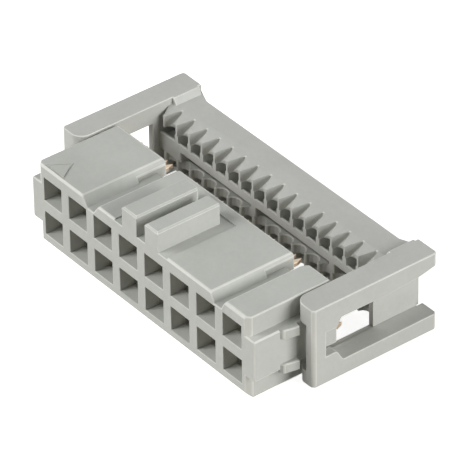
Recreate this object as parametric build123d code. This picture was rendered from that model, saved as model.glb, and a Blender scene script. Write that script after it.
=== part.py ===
from build123d import *
import math
import os

# driving dimensions in millimetres
columns = 8                 # contact columns along X
pitch = 2.54                # contact pitch, both ways
wire_pitch = pitch / 2      # pitch of the flat cable's wires

body_depth = 6.3            # mating face to cable face
body_height = 6.0
end_wall = 0.26             # material outside the last pitch cell
corner_cut = 0.3            # vertical front corners
rib_out = 0.58              # side guide rib beyond the body side
rib_up = 1.6                # rib over and under the middle
rib_down = 1.38
rib_edge = 0.08

mouth_wall = 0.75           # between two contact openings of a row
mouth_z = 1.73              # contact opening, across the rows
lip_depth = 1.05            # front lip of each opening
cavity_wall = 0.4           # between two cavities behind the lip
cavity_drop = 0.14          # cavity floor below the lip
cavity_depth = 4.0
throat_z = 1.0              # rear part of each cavity that holds the contact
top_bevel = 0.12
foot_bevel = 0.36

key_outer = 1.76            # polarizing key, half width
key_slot_left = -0.33
key_slot_right = 0.5
key_length = 4.75
key_height = 1.4
key_round = 0.11
key_recess_half = 2.6
key_recess_depth = 0.08
key_recess_length = 5.3

groove_depth = 0.7          # two mould grooves in the top
left_groove_x = -2 * pitch + 0.06
left_groove_top = 1.64
right_groove_x = 3 * pitch - 0.09
right_groove_top = 1.4
groove_floor = 0.6
notch_start = 4.05          # wider rear part of both grooves
notch_width = 1.1
notch_drop_start = 5.55
notch_drop = 1.35

mark_width = 2.0            # pin one triangle, engraved outline
mark_length = 1.5
mark_line = 0.16
mark_depth = 0.06
mark_x = -8.78
mark_front = 0.14

tab_start = 1.95            # two latch tabs on each side rib
tab_lead = 0.18
tab_end = 3.15
tab_height = 0.7
tab_low = 0.24              # lower tab reaches below the rib
tab_first = 0.2
tab_last = 0.42

sheet = 0.3                 # contact sheet
beam = 0.2                  # spring beam thickness
beam_width = 0.9
beam_tip = 1.5
beam_pinch = 2.25
beam_flare = 0.24
pinch_gap = 0.5
contact_plate_start = 4.1
contact_shoulder = 5.2
fork_width = 0.86
fork_slot = 0.2
fork_root = 6.05
fork_tip = 7.65
fork_point = 0.45
pocket_gap = 0.06

arm_ready = 0.22            # raised cover: arm front behind the latch tabs
post_length = 0.99
catch_gap = 0.09            # closed cover: post behind the tab's front end
cable_room = 0.8            # closed cover: cable between body and bar
web_gap = 0.25              # closed cover: arm web behind the body
arm_gap = 0.18              # body side to arm
arm_lift = 0.05             # arm top over body top
arm_foot = 0.35             # arm bottom over body bottom
post_gap = 0.26             # latch tab to post
channel_wall = 0.72
slide_gap = 0.08            # guide rib to arm channel, up and down
low_gap = 0.56              # body side to lower flange
shelf_gap = 0.08            # guide rib to the lower flange's shelf
shelf_height = 0.23
ledge_gap = 0.17            # guide rib to the ledge that runs on inside the shelf
step_height = 1.02          # lower window step over the channel floor
step_length = 0.72
step_ramp = 0.66
top_step_height = 0.58      # upper window step
top_step_length = 0.82
top_step_ramp = 0.36
arm_lead = 0.84             # rounded lead-in of the upper flange
low_lead = 0.5
arm_corner = 0.16
tail_height = 0.44          # the upper flange thins out to its tail in two slopes
tail_length = 1.27
tail_rise = 0.17
tail_run = 2.4
web = 0.45

bar_depth = 2.82
bar_drop = 0.45             # bar top under arm top
bar_lift = 0.85             # bar bottom over arm bottom
tail = 0.51                 # arms beyond the bar's back
gusset = 1.2
strip_out = 0.4             # sloped strip from the bar's top up to the arm
strip_top = 0.14
strip_start = 1.04
seat_half = 0.56            # pointed wire seats along the bar's top
seat_depth = 0.97
seat_tip = 0.07
seat_round = 0.5            # the seats are half round lower down
seat_drop = 0.3             # depth of the pointed part at its tip
finger_slope = 0.3          # tops of the fingers fall to the front
tine_front = 0.16           # slots that take the fork tines
tine_gap = 0.08
tine_side_gap = 0.04
tine_depth = 2.2
rail = 0.2                  # thin front rail under the seats
rail_height = 0.6
pocket_drop = 0.36          # dark pocket behind the rail
slot_height = 0.74          # long relief slot below the rail
slot_half = 8.5
slot_depth = 2.2
slot_drop = 0.6             # slot is deeper behind its front lip
lip = 0.62
scallop = 0.46              # half round wire seats below the slot
bridge_x = -1.22
bridge_step = 3 * pitch
bridge_width = 0.46

# housing, derived
row_z = pitch / 2
half_body = columns * pitch / 2 + end_wall
rib_x = half_body + rib_out
half_height = body_height / 2
mouth_x = pitch - mouth_wall
cavity_x = pitch - cavity_wall
column_x = [(i - (columns - 1) / 2) * pitch for i in range(columns)]
wire_x = [(i - (2 * columns - 1) / 2) * wire_pitch for i in range(2 * columns)]

# cover, derived from the housing and the clearances
arm_front = tab_end + arm_ready
post_back = arm_front + post_length
travel = post_back - tab_start + catch_gap
bar_front = body_depth + cable_room + travel
bar_back = bar_front + bar_depth
arm_back = bar_back + tail
web_front = body_depth + web_gap + travel
arm_inner = half_body + arm_gap
web_x = arm_inner + web
post_x = rib_x + tab_last + post_gap
arm_outer = post_x + channel_wall
low_inner = half_body + low_gap
shelf_x = rib_x + shelf_gap
arm_top = half_height + arm_lift
arm_bottom = -half_height + arm_foot
channel_top = rib_up + slide_gap
channel_bottom = -rib_down - tab_low - slide_gap
shelf_z = channel_bottom + shelf_height
bar_top = arm_top - bar_drop
bar_bottom = arm_bottom + bar_lift
tine_low = row_z - sheet / 2 - tine_front
tine_high = row_z + sheet / 2 + tine_gap
tine_width = fork_width + 2 * tine_side_gap
rail_low = tine_low - rail_height
slot_floor = rail_low - slot_height


def block(x0, x1, y0, y1, z0, z1):
    return Pos((x0 + x1) / 2, (y0 + y1) / 2, (z0 + z1) / 2) * Box(x1 - x0, y1 - y0, z1 - z0)


def plan(points, z0, z1):
    # outline in the XY plane, raised along Z
    face = make_face(Polyline(*[(x, y) for x, y in points], close=True))
    return Pos(0, 0, z0) * extrude(face, z1 - z0)


def section(points, y0, y1):
    # outline in the XZ plane, run along Y
    face = make_face(Polyline(*[(x, y0, z) for x, z in points], close=True))
    return extrude(face, y1 - y0, dir=(0, 1, 0))


def side(points, x0, x1):
    # outline in the YZ plane, run along X
    face = make_face(Polyline(*[(x0, y, z) for y, z in points], close=True))
    return extrude(face, x1 - x0, dir=(1, 0, 0))


# socket housing
def make_housing():
    profile = [
        (0, -half_height + foot_bevel), (foot_bevel, -half_height),
        (body_depth - top_bevel, -half_height), (body_depth, -half_height + top_bevel),
        (body_depth, half_height - top_bevel), (body_depth - top_bevel, half_height),
        (top_bevel, half_height), (0, half_height - top_bevel),
    ]
    body = side(profile, -half_body, half_body)
    for s in (-1, 1):
        body -= plan([(s * (half_body - corner_cut), -0.1), (s * (half_body + 0.1), -0.1),
                      (s * (half_body + 0.1), corner_cut), (s * half_body, corner_cut),
                      (s * (half_body - corner_cut), 0)], -half_height - 1, half_height + 1)
        rib = [
            (s * (half_body - 0.5), -rib_down), (s * (rib_x - rib_edge), -rib_down),
            (s * rib_x, -rib_down + rib_edge), (s * rib_x, rib_up - rib_edge),
            (s * (rib_x - rib_edge), rib_up), (s * (half_body - 0.5), rib_up),
        ]
        body += section(rib, 0, body_depth)
        ramp = [
            (s * (half_body - 0.3), tab_start), (s * rib_x, tab_start),
            (s * (rib_x + tab_first), tab_start + tab_lead),
            (s * (rib_x + tab_last), tab_end), (s * (half_body - 0.3), tab_end),
        ]
        for low in (rib_up - tab_height, -rib_down - tab_low):
            body += plan(ramp, low, low + tab_height)

    # shallow recess round the key, then the key's two ribs
    body -= block(-key_recess_half, key_recess_half, -1, key_recess_length,
                  half_height - key_recess_depth, half_height + 1)
    key_z = half_height - 0.3
    for x0, x1 in ((-key_outer, key_slot_left), (key_slot_right, key_outer)):
        rib = block(x0, x1, 0, key_length, key_z, half_height + key_height)
        top = rib.edges().filter_by(Axis.Y).group_by(Axis.Z)[-1]
        front = rib.edges().filter_by(Axis.X).group_by(Axis.Z)[-1].sort_by(Axis.Y)[0]
        body += chamfer(list(top) + [front], key_round)

    # grooves in the top with their wider rear notches
    for cx, width in ((left_groove_x, left_groove_top), (right_groove_x, right_groove_top)):
        floor = half_height - groove_depth
        body -= section([
            (cx - groove_floor / 2, floor), (cx + groove_floor / 2, floor),
            (cx + width / 2, half_height + 0.01), (cx - width / 2, half_height + 0.01),
        ], -0.5, body_depth + 0.5)
        body -= block(cx - notch_width / 2, cx + notch_width / 2,
                      notch_start, body_depth + 0.5, floor, half_height + 1)
        body -= block(cx - notch_width / 2, cx + notch_width / 2,
                      notch_drop_start, body_depth + 0.5, half_height - notch_drop, half_height + 1)
        right = cx + notch_width / 2
        body -= plan([(right - 0.01, notch_drop_start - 0.1), (right + 0.5, body_depth + 0.2),
                      (right - 0.01, body_depth + 0.2)], floor, half_height + 1)

    # contact openings with their lip, cavity and throat, and the fork pockets
    for row, z in ((1, row_z), (-1, -row_z)):
        for x in column_x:
            body -= block(x - mouth_x / 2, x + mouth_x / 2, -0.5, cavity_depth,
                          z - mouth_z / 2, z + mouth_z / 2)
            body -= block(x - cavity_x / 2, x + cavity_x / 2, lip_depth, cavity_depth,
                          z - mouth_z / 2 - cavity_drop, z + mouth_z / 2)
            body -= block(x - mouth_x / 2, x + mouth_x / 2, cavity_depth - 0.1, body_depth + 0.5,
                          z - throat_z / 2, z + throat_z / 2)
            fork = x - row * wire_pitch / 2
            lo = min(fork - fork_width / 2 - pocket_gap, x - mouth_x / 2)
            hi = max(fork + fork_width / 2 + pocket_gap, x + mouth_x / 2)
            body -= block(lo, hi, contact_shoulder, body_depth + 0.5,
                          z - sheet / 2 - pocket_gap, z + sheet / 2 + pocket_gap)

    # engraved outline triangle beside contact one
    y0 = mark_front
    outer = [(mark_x - mark_width / 2, y0), (mark_x + mark_width / 2, y0), (mark_x, y0 + mark_length)]
    cx = mark_x
    cy = y0 + mark_length / 3
    reach = math.hypot(mark_width / 2, mark_length)
    inradius = mark_width * mark_length / (mark_width + 2 * reach)
    shrink = 1 - mark_line / inradius
    inner = [(cx + (x - cx) * shrink, cy + (y - cy) * shrink) for x, y in outer]
    mark = plan(outer, half_height - mark_depth, half_height + 1)
    mark -= plan(inner, half_height - mark_depth - 1, half_height + 2)
    body -= mark
    return body


# one contact: two spring beams, a plate, and a slotted fork for the wire
def make_contact(x, z, row):
    half = mouth_x / 2
    fork = x - row * wire_pitch / 2
    z0 = z - sheet / 2
    z1 = z + sheet / 2
    shape = block(x - half, x + half, contact_plate_start, contact_shoulder, z0, z1)
    lo = min(fork - fork_width / 2, x - half)
    hi = max(fork + fork_width / 2, x + half)
    shape += block(lo, hi, contact_shoulder, fork_root - 0.35, z0, z1)
    shape += block(fork - fork_width / 2, fork + fork_width / 2, fork_root - 0.4, fork_root, z0, z1)
    for s in (-1, 1):
        inner = fork + s * fork_slot / 2
        outer = fork + s * fork_width / 2
        mid = fork + s * (fork_slot + fork_width) / 4
        shape += plan([(inner, fork_root - 0.05), (inner, fork_tip - fork_point * 0.8),
                       (mid, fork_tip), (outer, fork_tip - fork_point),
                       (outer, fork_root - 0.05)], z0, z1)
        root = half - beam
        tip = pinch_gap / 2
        arm = [
            (s * half, contact_shoulder), (s * half, contact_plate_start),
            (s * (tip + beam), beam_pinch), (s * (tip + beam + beam_flare), beam_tip),
            (s * (tip + beam_flare), beam_tip), (s * tip, beam_pinch),
            (s * root, contact_plate_start), (s * root, contact_shoulder),
        ]
        shape += plan([(x + px, py) for px, py in arm], z - beam_width / 2, z + beam_width / 2)
    return shape


# clamp cover in its raised position
def pointed_seat(x, z0, z1):
    # a wire seat, half round lower down, that runs back to a point at the top
    a = seat_half
    d = seat_depth
    path = [(-a - 0.2, -0.5), (-a - 0.2, 0), (-a, 0), (-0.78 * a, 0.3 * d), (-0.46 * a, 0.65 * d),
            (-seat_tip, d), (seat_tip, d), (0.46 * a, 0.65 * d), (0.78 * a, 0.3 * d), (a, 0),
            (a + 0.2, 0), (a + 0.2, -0.5)]
    point = plan([(x + px, bar_front + py) for px, py in path], z0, z1)
    point &= side([(bar_front - 0.6, z0), (bar_front + 0.3 * d, z0), (bar_front + d, bar_top - seat_drop),
                   (bar_front + d + 0.1, bar_top - seat_drop), (bar_front + d + 0.1, z1),
                   (bar_front - 0.6, z1)], x - wire_pitch, x + wire_pitch)
    hollow = [(-a, -0.5)]
    for i in range(9):
        t = math.pi * i / 8
        hollow.append((-0.98 * a * math.cos(t), seat_round * math.sin(t)))
    hollow.append((a, -0.5))
    return point + plan([(x + px, bar_front + py) for px, py in hollow], z0, z1)


def round_seat(x, z0, z1):
    # half round seat, a little flatter than the wire
    path = [(-wire_pitch / 2, -0.5), (-wire_pitch / 2, 0)]
    for i in range(7):
        t = math.pi * i / 6
        path.append((-0.42 * wire_pitch * math.cos(t), scallop * math.sin(t)))
    path += [(wire_pitch / 2, 0), (wire_pitch / 2, -0.5)]
    return plan([(x + px, bar_front + py) for px, py in path], z0, z1)


def make_bar():
    bar = block(-arm_inner, arm_inner, bar_front, bar_back, bar_bottom, bar_top)
    seats = wire_x + [wire_x[0] - wire_pitch, wire_x[-1] + wire_pitch]
    for x in seats:
        bar -= pointed_seat(x, tine_high, bar_top + 1)
        bar -= round_seat(x, bar_bottom - 1, slot_floor + 0.01)
    # finger tops slope down to the front
    bar -= side([(bar_front - 0.2, bar_top + 0.2), (bar_front - 0.2, bar_top - finger_slope),
                 (bar_front, bar_top - finger_slope), (bar_front + seat_depth, bar_top),
                 (bar_front + seat_depth, bar_top + 0.2)],
                wire_x[0] - wire_pitch, wire_x[-1] + wire_pitch)
    # fork slots: the outermost ones open as far as the arm
    for i, x in enumerate(wire_x):
        lo = -arm_inner if i == 0 else x - tine_width / 2
        hi = arm_inner if i == len(wire_x) - 1 else x + tine_width / 2
        bar -= block(lo, hi, bar_front - 0.5, bar_front + tine_depth, tine_low, tine_high)
        bar -= block(lo, hi, bar_front + rail, bar_front + tine_depth,
                     tine_low - pocket_drop, tine_high)
        bar -= block(x - tine_width / 2, x + tine_width / 2, bar_front - 0.5,
                     bar_front + tine_depth, -tine_high, -row_z + sheet / 2 + tine_gap)
    # long relief slot between rail and lower seats, crossed by two bridges
    slot = block(-slot_half, slot_half, bar_front - 0.5, bar_front + slot_depth,
                 slot_floor, rail_low)
    slot += block(-slot_half, slot_half, bar_front + lip, bar_front + slot_depth,
                  slot_floor - slot_drop, rail_low)
    for x in (bridge_x, bridge_x + bridge_step):
        slot -= block(x - bridge_width / 2, x + bridge_width / 2, bar_front,
                      bar_back, slot_floor - slot_drop - 1, rail_low + 1)
    return bar - slot


def make_arm():
    # upper and lower flange with rounded lead-ins at the front
    upper = block(arm_inner, arm_outer, arm_front, arm_back, channel_top, arm_top)
    upper = fillet(upper.edges().filter_by(Axis.Z).group_by(Axis.Y)[0].sort_by(Axis.X)[0], arm_lead)
    lower = block(low_inner, arm_outer, arm_front, arm_back, arm_bottom, channel_bottom)
    lower = fillet(lower.edges().filter_by(Axis.Z).group_by(Axis.Y)[0].sort_by(Axis.X)[0], low_lead)
    arm = upper + lower

    # front post and the window steps behind it
    arm += block(post_x, arm_outer, arm_front, post_back, channel_bottom - 0.1, channel_top + 0.1)
    shelf_y = post_back + step_length + step_ramp
    step = [(post_back - 0.1, channel_bottom - 0.1), (post_back - 0.1, channel_bottom + step_height)]
    for i in range(8):
        t = i / 7
        fall = (1 - math.cos(math.pi * t)) / 2
        step.append((post_back + step_length + step_ramp * t,
                     channel_bottom + step_height + (shelf_height - step_height) * fall))
    step.append((shelf_y, channel_bottom - 0.1))
    arm += side(step, post_x, arm_outer)
    arm += side([
        (post_back - 0.1, channel_top + 0.1), (post_back - 0.1, channel_top - top_step_height),
        (post_back + top_step_length, channel_top - top_step_height),
        (post_back + top_step_length + top_step_ramp, channel_top),
        (post_back + top_step_length + top_step_ramp, channel_top + 0.1)], post_x, arm_outer)

    # shelf of the lower flange, and the web that joins both flanges to the bar
    arm += block(shelf_x, arm_outer, shelf_y, arm_back, channel_bottom - 0.1, shelf_z)
    arm += block(arm_inner, shelf_x + 0.1, shelf_y, web_front + 0.1, arm_bottom, -rib_down - ledge_gap)
    arm += block(arm_inner, web_x, web_front, bar_back, arm_bottom, arm_top)
    arm -= side([(arm_back + 0.1, channel_top - 0.1), (arm_back + 0.1, channel_top + tail_height),
                 (arm_back, channel_top + tail_height), (arm_back - tail_length, channel_top + tail_rise),
                 (arm_back - tail_length - tail_run, channel_top),
                 (arm_back - tail_length - tail_run, channel_top - 0.1)], web_x, arm_outer + 0.1)
    corners = arm.edges().filter_by(Axis.Z).filter_by(
        lambda e: e.center().X > arm_outer - 0.01
        and (abs(e.center().Y - arm_front) < 0.01 or abs(e.center().Y - arm_back) < 0.01))
    arm = chamfer(corners, arm_corner)

    # gusset behind the bar and the strip that slopes from the bar up to the arm
    arm += plan([(arm_inner - gusset, bar_back), (arm_inner, arm_back - 0.02),
                 (arm_inner + 0.1, arm_back - 0.02), (arm_inner + 0.1, bar_back - 0.1),
                 (arm_inner - gusset, bar_back - 0.1)], bar_bottom, bar_top)
    strip = section([
        (arm_inner + 0.05, arm_top), (arm_inner - strip_top, arm_top),
        (arm_inner - strip_out, bar_top), (arm_inner - strip_out, bar_top - 0.1),
        (arm_inner + 0.05, bar_top - 0.1)], bar_front + strip_start, bar_back + tail / 2)
    return arm + strip


def make_cover():
    arm = make_arm()
    return make_bar() + arm + mirror(arm, Plane.YZ)


housing = make_housing()
cover = make_cover()
nodes = {"housing": housing, "cable_cover": cover}
for row, letter, z in ((1, "a", row_z), (-1, "b", -row_z)):
    for i, x in enumerate(column_x):
        nodes[f"contact_{letter}{i + 1}"] = make_contact(x, z, row)

os.makedirs("parts", exist_ok=True)
for name, shape in nodes.items():
    solids = shape.solids()
    solid = solids[0] if len(solids) == 1 else Compound(children=list(solids))
    solid.label = name
    export_step(solid, f"parts/{name}.step")
    box = solid.bounding_box()
    print(name, len(solids), round(solid.volume, 3), [round(v, 2) for v in (*box.min, *box.max)])
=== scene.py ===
import math

import bmesh
import bpy
from mathutils import Matrix, Vector


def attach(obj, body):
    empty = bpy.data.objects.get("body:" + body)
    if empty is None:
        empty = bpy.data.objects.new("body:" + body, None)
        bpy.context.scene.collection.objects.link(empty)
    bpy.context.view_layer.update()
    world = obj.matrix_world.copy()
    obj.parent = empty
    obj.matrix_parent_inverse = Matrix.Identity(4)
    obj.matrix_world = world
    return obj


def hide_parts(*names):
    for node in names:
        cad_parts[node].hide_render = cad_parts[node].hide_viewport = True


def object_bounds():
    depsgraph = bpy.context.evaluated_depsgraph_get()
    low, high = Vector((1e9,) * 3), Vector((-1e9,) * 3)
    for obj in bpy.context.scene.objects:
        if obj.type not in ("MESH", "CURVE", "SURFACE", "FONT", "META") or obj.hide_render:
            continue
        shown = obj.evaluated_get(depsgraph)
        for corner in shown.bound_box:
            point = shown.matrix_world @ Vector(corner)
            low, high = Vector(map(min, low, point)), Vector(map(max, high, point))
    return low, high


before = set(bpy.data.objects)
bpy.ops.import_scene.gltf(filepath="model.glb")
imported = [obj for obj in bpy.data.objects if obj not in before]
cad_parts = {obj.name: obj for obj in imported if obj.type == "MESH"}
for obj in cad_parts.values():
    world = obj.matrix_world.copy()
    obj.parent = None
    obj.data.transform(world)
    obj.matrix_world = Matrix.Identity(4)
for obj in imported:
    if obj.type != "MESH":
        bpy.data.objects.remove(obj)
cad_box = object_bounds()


# Socket housing
#
# The block that plugs over the pin header, with sixteen square contact
# openings, a keying boss on top and a guide rib on each side. One injection
# moulding in grey glass-filled PBT; its edges are softened by the mould.

def mm(value):
    return value / 1000.0


def colour(hexa):
    """An sRGB hex value as the linear colour that a shader socket takes."""
    parts = [int(hexa[i:i + 2], 16) / 255 for i in (1, 3, 5)]
    return [c / 12.92 if c <= 0.04045 else ((c + 0.055) / 1.055) ** 2.4 for c in parts] + [1.0]


def add_node(tree, kind, links=(), values=(), **settings):
    """One node: its settings, its fixed input values, and what feeds its inputs."""
    node = tree.nodes.new(kind)
    for key, value in settings.items():
        setattr(node, key, value)
    for key, value in dict(values).items():
        node.inputs[key].default_value = value
    for key, source in dict(links).items():
        tree.links.new(source, node.inputs[key])
    return node


def linked(name, mesh):
    """A new object of a mesh, at the origin of the scene."""
    piece = bpy.data.objects.new(name, mesh)
    bpy.context.scene.collection.objects.link(piece)
    return piece


def room_beside(edge):
    """How wide a radius the two faces of an edge leave free for it."""
    widest, narrowest = mm(1.0), mm(0.004)
    beside = mm(0.001)
    # two radii may share one gap, so each takes less than half of it
    part_taken = 0.38
    tried_along = (0.2, 0.5, 0.8)
    start, end = (v.co for v in edge.verts)
    length = edge.calc_length()
    along = (end - start) / length
    gaps = [widest]
    for face in edge.link_faces:
        for vert in face.verts:
            reach = (vert.co - start).dot(along)
            if vert not in edge.verts and -beside < reach < length + beside:
                gaps.append((vert.co - start - along * reach).length)
        for other in face.edges:
            if set(other.verts) & set(edge.verts):
                continue
            first, last = (v.co for v in other.verts)
            span = last - first
            for share in tried_along:
                point = start + along * length * share
                t = min(1.0, max(0.0, (point - first).dot(span) / max(span.length_squared, 1e-18)))
                gaps.append((point - first - span * t).length)
    return part_taken * max(narrowest, min(gaps))


def even_out(outer, verts):
    """An edge that runs on smoothly into the next takes the smaller radius of the two."""
    straight_on, tolerance = -0.85, 1e-6
    uneven = True
    while uneven:
        uneven = False
        for vert in verts:
            here = [(edge, (edge.other_vert(vert).co - vert.co).normalized())
                    for edge in vert.link_edges if edge in outer]
            for one, ahead in here:
                for other, behind in here:
                    if ahead.dot(behind) < straight_on and outer[one] > outer[other] + tolerance:
                        outer[one] = outer[other]
                        uneven = True


def takes_painted_highlight(face, outer):
    """Whether a face is a chamfer or a narrow flat that lies between outer edges; such faces take the
    paler edge material, a painted highlight.
    """
    widest_chamfer, widest_flat = mm(0.45), mm(0.2)
    square_from, slender_from, long_from = 0.9, 4, 1.5
    width = 2 * face.calc_area() / face.calc_perimeter()
    chamfer = max(abs(part) for part in face.normal) < square_from
    widest = widest_chamfer if chamfer else widest_flat
    longest = max(edge.calc_length() for edge in face.edges)
    long_sides = [edge for edge in face.edges if edge.calc_length() > long_from * width]
    slender = width < widest and longest > slender_from * width
    return slender and all(edge in outer for edge in long_sides)


def moulded_copy(node_name, piece_name, edge_mm, faces, edges, cored=(0.0, 0.0),
                 fine_above=math.inf):
    """The CAD node's form as one closed skin, with its outer edges run over by a small mould
    radius, which narrows where two edges lie close together. The radius takes the edge material,
    a paler tone that is a painted highlight along the edges.
    Cored holds the half width and half height of a field of cored openings in the front face.
    Above fine_above the form has chamfers of its own, and only a trace of radius beside them."""
    same_point, front_face = mm(0.002), mm(0.01)
    curved_from, sharp_from = math.radians(1.0), math.radians(24)
    crisp_up_to, rim_of_core, beside_chamfer = 0.5, 0.4, 0.35
    skin = bpy.data.meshes.new(piece_name)
    bm = bmesh.new()
    bm.from_mesh(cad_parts[node_name].data)
    bmesh.ops.remove_doubles(bm, verts=bm.verts, dist=same_point)
    bmesh.ops.dissolve_limit(bm, angle_limit=curved_from, verts=bm.verts, edges=bm.edges)
    weight = bm.edges.layers.float.new("bevel_weight_edge")
    # the outer edges, each with the share of the mould radius that it has room for
    outer = {}
    for edge in bm.edges:
        if edge.calc_face_angle() > sharp_from:
            edge.smooth = False
            if edge.is_convex:
                outer[edge] = min(1.0, room_beside(edge) / mm(edge_mm))
    even_out(outer, bm.verts)
    for edge, share in outer.items():
        # engraved lines and shallow steps stay crisp
        edge[weight] = share if share > crisp_up_to else 0.0
        # core pins leave the rims of the openings sharper than the outside
        if all(v.co.y < front_face and abs(v.co.x) < cored[0] and abs(v.co.z) < cored[1]
               for v in edge.verts):
            edge[weight] *= rim_of_core
        if all(v.co.z > fine_above for v in edge.verts):
            edge[weight] *= beside_chamfer
    for face in bm.faces:
        # only the faces of a curved wall are shaded round; flat ones stay flat
        face.smooth = any(curved_from < edge.calc_face_angle() < sharp_from for edge in face.edges)
        # chamfers and narrow flats below fine_above take the paler edge material: a painted highlight
        low = face.calc_center_median().z <= fine_above
        face.material_index = 1 if low and takes_painted_highlight(face, outer) else 0
    skin.materials.append(faces)
    skin.materials.append(edges)
    bm.to_mesh(skin)
    bm.free()
    piece = linked(piece_name, skin)
    radius = piece.modifiers.new("mould radius", "BEVEL")
    radius.width = mm(edge_mm)
    radius.segments = 2
    radius.limit_method = "WEIGHT"
    radius.use_clamp_overlap = False
    # the new radius faces take the paler edge material: a painted highlight along every outer edge
    radius.material = 1
    return piece


def new_surface(name):
    """A new material, its empty node tree, and the place of each point on the piece."""
    mat = bpy.data.materials.new(name)
    mat.use_nodes = True
    mat.node_tree.nodes.clear()
    where = add_node(mat.node_tree, "ShaderNodeTexCoord")
    return mat, mat.node_tree, where.outputs["Object"]


def moulded_pbt(name, tone, shade, grain_mm, offset):
    """Moulded glass-filled PBT: opaque, satin, faintly clouded where the melt flowed,
    with the fine spark-eroded grain of the mould wall. The offset, in metres, moves the
    clouds and the grain along, so that two mouldings differ."""
    mat, tree, where = new_surface(name)
    place = add_node(tree, "ShaderNodeMapping", {"Vector": where},
                     {"Location": (offset, offset * 0.37, offset * 0.61)})
    # melt flow clouds, about 4 mm across
    cloud = add_node(tree, "ShaderNodeTexNoise", {"Vector": place.outputs[0]},
                     {"Scale": 1 / mm(4.0), "Detail": 2.0, "Roughness": 0.55})
    # glass fibre mottle just under the surface, about 0.35 mm across
    mottle = add_node(tree, "ShaderNodeTexNoise", {"Vector": place.outputs[0]},
                      {"Scale": 1 / mm(0.35), "Detail": 3.0, "Roughness": 0.6})
    both = add_node(tree, "ShaderNodeMix", {2: cloud.outputs["Fac"], 3: mottle.outputs["Fac"]},
                    {0: 0.35}, data_type="FLOAT")
    band = add_node(tree, "ShaderNodeMapRange", {"Value": both.outputs[0]},
                    {"From Min": 0.35, "From Max": 0.65, "To Min": 0.0, "To Max": 1.0})
    base = add_node(tree, "ShaderNodeMix", {0: band.outputs[0]},
                    {6: colour(shade), 7: colour(tone)}, data_type="RGBA")
    # mould grain, drawn coarser than the real 0.02 mm so that it shows
    grain = add_node(tree, "ShaderNodeTexNoise", {"Vector": place.outputs[0]},
                     {"Scale": 1 / mm(grain_mm), "Detail": 2.0, "Roughness": 0.5})
    rough = add_node(tree, "ShaderNodeMapRange", {"Value": grain.outputs["Fac"]},
                     {"From Min": 0.3, "From Max": 0.7, "To Min": 0.44, "To Max": 0.56})
    relief = add_node(tree, "ShaderNodeBump", {"Height": grain.outputs["Fac"]},
                      {"Strength": 0.25, "Distance": mm(0.012)})
    skin = add_node(tree, "ShaderNodeBsdfPrincipled",
                    {"Base Color": base.outputs[2], "Roughness": rough.outputs[0],
                     "Normal": relief.outputs["Normal"]},
                    {"IOR": 1.52, "Metallic": 0.0, "Specular IOR Level": 0.42})
    add_node(tree, "ShaderNodeOutputMaterial", {"Surface": skin.outputs[0]})
    return mat


housing_radius_mm = 0.085
openings_half_width, openings_half_height = mm(9.9), mm(2.3)
key_chamfers_above = mm(3.1)

housing_pbt = moulded_pbt("moulded_grey_pbt", "#CBCDC7", "#C2C4BE", 0.11, 0.013)
# the paler tone on the mould radius and on narrow chamfers is a painted highlight along the edges
housing_painted_highlight = moulded_pbt("painted_highlight_of_grey_pbt", "#E5E6DF", "#DDDED7", 0.11, 0.013)
housing = moulded_copy("housing", "socket_housing", housing_radius_mm, housing_pbt, housing_painted_highlight,
                       cored=(openings_half_width, openings_half_height),
                       fine_above=key_chamfers_above)
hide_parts("housing")
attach(housing, "socket")


# Contacts
#
# Sixteen stamped phosphor bronze contacts, tin flashed. Each one has two spring
# beams that grip a header pin and a slotted fork that cuts into one wire; they
# are pushed into the housing from behind, the lower row turned over.

pitch = mm(2.54)
row_height = mm(1.27)
contacts_in_row = 8

# depths are counted from the mating face
# the plate, and the shoulder where the fork steps out past its side
plate_half, plate_thick = mm(0.895), mm(0.3)
plate_front, shoulder, plate_back = mm(4.1), mm(5.2), mm(5.7)
# the fork, which stands off the middle of the plate, and its slot for the wire
fork_middle, fork_half = mm(-0.635), mm(0.43)
fork_side_end, fork_tip, tip_offset = mm(7.2), mm(7.65), mm(0.265)
slot_half, slot_floor, slot_mouth = mm(0.1), mm(6.05), mm(7.29)
# the two spring beams, which start from the plate's front edge
beam_half, beam_thick = mm(0.45), mm(0.2)
pinch_depth, pinch_half = mm(2.25), mm(0.25)
lip_depth, lip_flare = mm(1.5), mm(0.24)
beam_steps, lip_steps = 8, 4
# the sheared edges are broken; a fold of less than half a radian is part of a bend
edge_break, least_fold = mm(0.02), 0.5


def stamped_bronze():
    """Phosphor bronze under a thin tin flash: a pale beige metal with a soft, brushed gloss
    from the stamping oil and the rolling of the strip."""
    mat, tree, where = new_surface("stamped_tinned_bronze")
    # rolling marks along the strip, 0.05 mm apart and 1 mm long
    place = add_node(tree, "ShaderNodeMapping", {"Vector": where},
                     {"Scale": (1 / mm(0.05), 1 / mm(1.0), 1 / mm(0.05))})
    marks = add_node(tree, "ShaderNodeTexNoise", {"Vector": place.outputs[0]},
                     {"Scale": 1.0, "Detail": 2.0})
    tone = add_node(tree, "ShaderNodeMix", {0: marks.outputs["Fac"]},
                    {6: colour("#CDB89E"), 7: colour("#E2D0B9")}, data_type="RGBA")
    rough = add_node(tree, "ShaderNodeMapRange", {"Value": marks.outputs["Fac"]},
                     {"From Min": 0.3, "From Max": 0.7, "To Min": 0.42, "To Max": 0.54})
    skin = add_node(tree, "ShaderNodeBsdfPrincipled",
                    {"Base Color": tone.outputs[2], "Roughness": rough.outputs[0]},
                    {"Metallic": 1.0})
    add_node(tree, "ShaderNodeOutputMaterial", {"Surface": skin.outputs[0]})
    return mat


def pressed(bm, outline, low, high):
    """A flat blank cut to an outline in XY and given its thickness."""
    under = [bm.verts.new((x, y, low)) for x, y in outline]
    over = [bm.verts.new((x, y, high)) for x, y in outline]
    bm.faces.new(list(reversed(under)))
    bm.faces.new(over)
    count = len(outline)
    for i in range(count):
        j = (i + 1) % count
        bm.faces.new((under[i], under[j], over[j], over[i]))


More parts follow.
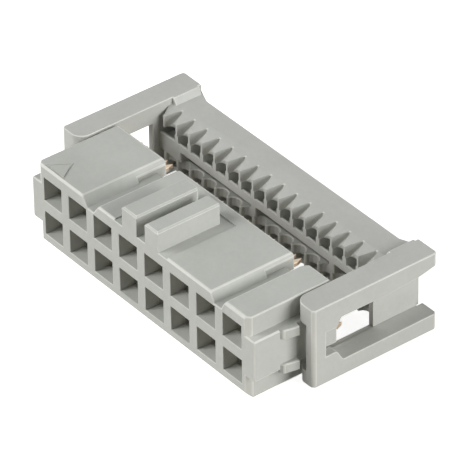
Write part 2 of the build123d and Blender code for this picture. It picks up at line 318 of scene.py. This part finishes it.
def contact_blank():
    """One contact of the upper row, centred on its opening."""
    mesh = bpy.data.meshes.new("contact_blank")
    bm = bmesh.new()
    plate = [(-plate_half, plate_front), (plate_half, plate_front), (plate_half, plate_back),
             (fork_middle + fork_half, plate_back), (fork_middle + fork_half, fork_side_end),
             (fork_middle + tip_offset, fork_tip), (fork_middle + slot_half, slot_mouth),
             (fork_middle + slot_half, slot_floor), (fork_middle - slot_half, slot_floor),
             (fork_middle - slot_half, slot_mouth), (fork_middle - tip_offset, fork_tip),
             (fork_middle - fork_half, fork_side_end), (fork_middle - fork_half, shoulder),
             (-plate_half, shoulder)]
    pressed(bm, plate, -plate_thick / 2, plate_thick / 2)
    # spring beams: an eased curve from the plate in to the pinch, then out to the flared lip
    beam_root = plate_half - beam_thick
    for side in (-1, 1):
        inner, outer = [], []
        for i in range(beam_steps + 1):
            t = i / beam_steps
            ease = t * t * (3 - 2 * t)
            x = beam_root + (pinch_half - beam_root) * ease
            y = plate_front + (pinch_depth - plate_front) * t
            inner.append((side * x, y))
            outer.append((side * (x + beam_thick), y))
        for i in range(1, lip_steps + 1):
            t = i / lip_steps
            x = pinch_half + lip_flare * t * t
            y = pinch_depth + (lip_depth - pinch_depth) * t
            inner.append((side * x, y))
            outer.append((side * (x + beam_thick), y))
        strip = [(side * beam_root, shoulder)] + inner + outer[::-1] + [(side * plate_half, shoulder)]
        pressed(bm, strip if side > 0 else strip[::-1], -beam_half, beam_half)
    bmesh.ops.recalc_face_normals(bm, faces=bm.faces)
    bmesh.ops.bevel(bm, geom=[e for e in bm.edges if e.calc_face_angle(0) > least_fold],
                    offset=edge_break, segments=1, affect="EDGES")
    bm.to_mesh(mesh)
    bm.free()
    return mesh


def rows_of_contacts(metal):
    """The loading of the housing: one blank set on each cavity, the lower row turned over."""
    tree = bpy.data.node_groups.new("load contacts", "GeometryNodeTree")
    face = tree.interface
    for name, kind in (("Blank", "Geometry"), ("Contacts in a row", "Int"), ("Pitch", "Float"),
                       ("Row height", "Float"), ("Metal", "Material")):
        face.new_socket(name, in_out="INPUT", socket_type="NodeSocket" + kind)
    face.new_socket("Contacts", in_out="OUTPUT", socket_type="NodeSocketGeometry")
    given = add_node(tree, "NodeGroupInput")
    less = add_node(tree, "ShaderNodeMath", {0: given.outputs["Contacts in a row"]}, {1: 1.0},
                    operation="SUBTRACT")
    span = add_node(tree, "ShaderNodeMath", {0: less.outputs[0], 1: given.outputs["Pitch"]},
                    operation="MULTIPLY")
    left = add_node(tree, "ShaderNodeMath", {0: span.outputs[0]}, {1: -0.5}, operation="MULTIPLY")
    step = add_node(tree, "ShaderNodeCombineXYZ", {"X": given.outputs["Pitch"]})
    rows = []
    for turned in (0.0, math.pi):
        height = given.outputs["Row height"]
        if turned:
            height = add_node(tree, "ShaderNodeMath", {0: height}, {1: -1.0},
                              operation="MULTIPLY").outputs[0]
        start = add_node(tree, "ShaderNodeCombineXYZ", {"X": left.outputs[0], "Z": height})
        line = add_node(tree, "GeometryNodeMeshLine",
                        {"Count": given.outputs["Contacts in a row"],
                         "Start Location": start.outputs[0], "Offset": step.outputs[0]})
        row = add_node(tree, "GeometryNodeInstanceOnPoints",
                       {"Points": line.outputs[0], "Instance": given.outputs["Blank"]},
                       {"Rotation": (0.0, turned, 0.0)})
        rows.append(row.outputs[0])
    join = add_node(tree, "GeometryNodeJoinGeometry")
    for row in rows:
        tree.links.new(row, join.inputs[0])
    real = add_node(tree, "GeometryNodeRealizeInstances", {0: join.outputs[0]})
    dress = add_node(tree, "GeometryNodeSetMaterial",
                     {"Geometry": real.outputs[0], "Material": given.outputs["Metal"]})
    out = add_node(tree, "NodeGroupOutput")
    tree.links.new(dress.outputs[0], out.inputs[0])

    holder = linked("contact_holder", contact_blank())
    load = holder.modifiers.new("load contacts", "NODES")
    load.node_group = tree
    ids = {item.name: item.identifier for item in face.items_tree if item.in_out == "INPUT"}
    load[ids["Contacts in a row"]] = contacts_in_row
    load[ids["Pitch"]] = pitch
    load[ids["Row height"]] = row_height
    load[ids["Metal"]] = metal
    shown = holder.evaluated_get(bpy.context.evaluated_depsgraph_get())
    mesh = bpy.data.meshes.new_from_object(shown)
    mesh.name = "contacts"
    bpy.data.objects.remove(holder)
    return mesh


contacts = linked("contacts", rows_of_contacts(stamped_bronze()))
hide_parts(*[f"contact_{row}{i}" for row in "ab" for i in range(1, contacts_in_row + 1)])
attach(contacts, "socket")


# Cable cover
#
# The clamp that presses the flat cable onto the forks: a bar with a pointed
# seat for each wire between two arms that run on the housing's side ribs.
# Moulded in the same grey PBT, from another tool, so its clouds differ.

cover_radius_mm = 0.075

cover_pbt = moulded_pbt("moulded_cover_pbt", "#CBCCC7", "#C2C3BE", 0.12, 0.171)
# the paler tone on the cover's mould radius and narrow chamfers is a painted highlight along the edges
cover_painted_highlight = moulded_pbt("painted_highlight_of_cover_pbt", "#E5E6DF", "#DDDED7", 0.12, 0.171)
cover = moulded_copy("cable_cover", "clamp_cover", cover_radius_mm, cover_pbt, cover_painted_highlight)
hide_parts("cable_cover")
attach(cover, "cover")


# Floor, lamps and camera
#
# The connector lies on its underside on a white studio floor, under wide soft
# lamps: one behind its right end, and a low and a high one in front on the left.

def seen_or_mirrored(tree):
    """1 where the camera looks, straight or by way of a reflection, and 0 for all other light."""
    light = add_node(tree, "ShaderNodeLightPath")
    either = add_node(tree, "ShaderNodeMath", {0: light.outputs["Is Camera Ray"],
                                               1: light.outputs["Is Glossy Ray"]},
                      operation="MAXIMUM")
    return either.outputs[0]


def studio_floor(level, reach):
    """White paper sweep. To the camera it shows white; the connector's soft shadow stays on it."""
    mat = bpy.data.materials.new("white_sweep")
    mat.use_nodes = True
    tree = mat.node_tree
    tree.nodes.clear()
    paper = add_node(tree, "ShaderNodeBsdfDiffuse", values={"Color": colour("#F2F2F2")})
    glow = add_node(tree, "ShaderNodeEmission", values={"Color": (1, 1, 1, 1), "Strength": 0.86})
    lit = add_node(tree, "ShaderNodeAddShader", {0: paper.outputs[0], 1: glow.outputs[0]})
    # what the paper throws back up is warm and weak, as the set round it is dark
    dull = add_node(tree, "ShaderNodeBsdfDiffuse", values={"Color": colour("#A6A19A")})
    mix = add_node(tree, "ShaderNodeMixShader",
                   {0: seen_or_mirrored(tree), 1: dull.outputs[0], 2: lit.outputs[0]})
    add_node(tree, "ShaderNodeOutputMaterial", {"Surface": mix.outputs[0]})
    mesh = bpy.data.meshes.new("floor")
    mesh.from_pydata([(-reach, -reach, level), (reach, -reach, level), (reach, reach, level),
                      (-reach, reach, level)], [], [(0, 1, 2, 3)])
    mesh.materials.append(mat)
    floor = linked("floor", mesh)


def studio_air():
    """White behind the set for the camera and for reflections, nearly dark for everything else."""
    world = bpy.data.worlds.new("studio")
    world.use_nodes = True
    tree = world.node_tree
    tree.nodes.clear()
    dim = add_node(tree, "ShaderNodeBackground", values={"Color": colour("#F1F1EF"), "Strength": 0.05})
    white = add_node(tree, "ShaderNodeBackground", values={"Color": (1, 1, 1, 1), "Strength": 1.0})
    mix = add_node(tree, "ShaderNodeMixShader",
                   {0: seen_or_mirrored(tree), 1: dim.outputs[0], 2: white.outputs[0]})
    add_node(tree, "ShaderNodeOutputWorld", {"Surface": mix.outputs[0]})
    bpy.context.scene.world = world


def lamp(name, place, size, power):
    """A square softbox, aimed at the middle of the connector."""
    middle = Vector((0.0, mm(6), 0.0))
    data = bpy.data.lights.new(name, "AREA")
    data.shape = "SQUARE"
    data.size = size
    data.energy = power
    box = linked(name, data)
    aim = (middle - Vector(place)).to_track_quat("-Z", "Y")
    box.matrix_world = Matrix.Translation(place) @ aim.to_matrix().to_4x4()


underside = cad_box[0][2]
floor_reach = 0.6

studio_floor(underside, floor_reach)
studio_air()
# place and size in metres, power in watts
lamp("right_box", (0.30, 0.12, 0.12), 0.20, 0.96)
lamp("front_box", (-0.22, -0.28, 0.12), 0.22, 0.42)
lamp("high_box", (-0.12, -0.28, 0.26), 0.22, 0.98)

# the photograph's camera, found from the 2.54 mm grid of the openings: its direction,
# its distance from the origin along its own three axes, and its focal length
azimuth, elevation, roll = math.radians(52.31), math.radians(36.0), math.radians(-0.91)
aside, above, away = mm(5.67), mm(2.65), mm(308.7)
frame_pixels, focal_pixels, sensor_mm = 470, 5112, 36.0

back = Vector((math.sin(azimuth) * math.cos(elevation), -math.cos(azimuth) * math.cos(elevation),
               math.sin(elevation)))
right = Vector((0, 0, 1)).cross(back).normalized()
up = back.cross(right)
across = math.cos(roll) * right + math.sin(roll) * up
upright = math.cos(roll) * up - math.sin(roll) * right
turn = Matrix((across, upright, back)).transposed()
lens = bpy.data.cameras.new("camera")
lens.sensor_width = sensor_mm
lens.lens = focal_pixels / frame_pixels * sensor_mm
camera = linked("camera", lens)
camera.matrix_world = Matrix.Translation(turn @ Vector((aside, above, away))) @ turn.to_4x4()
bpy.context.scene.camera = camera
bpy.context.scene.view_settings.view_transform = "Standard"
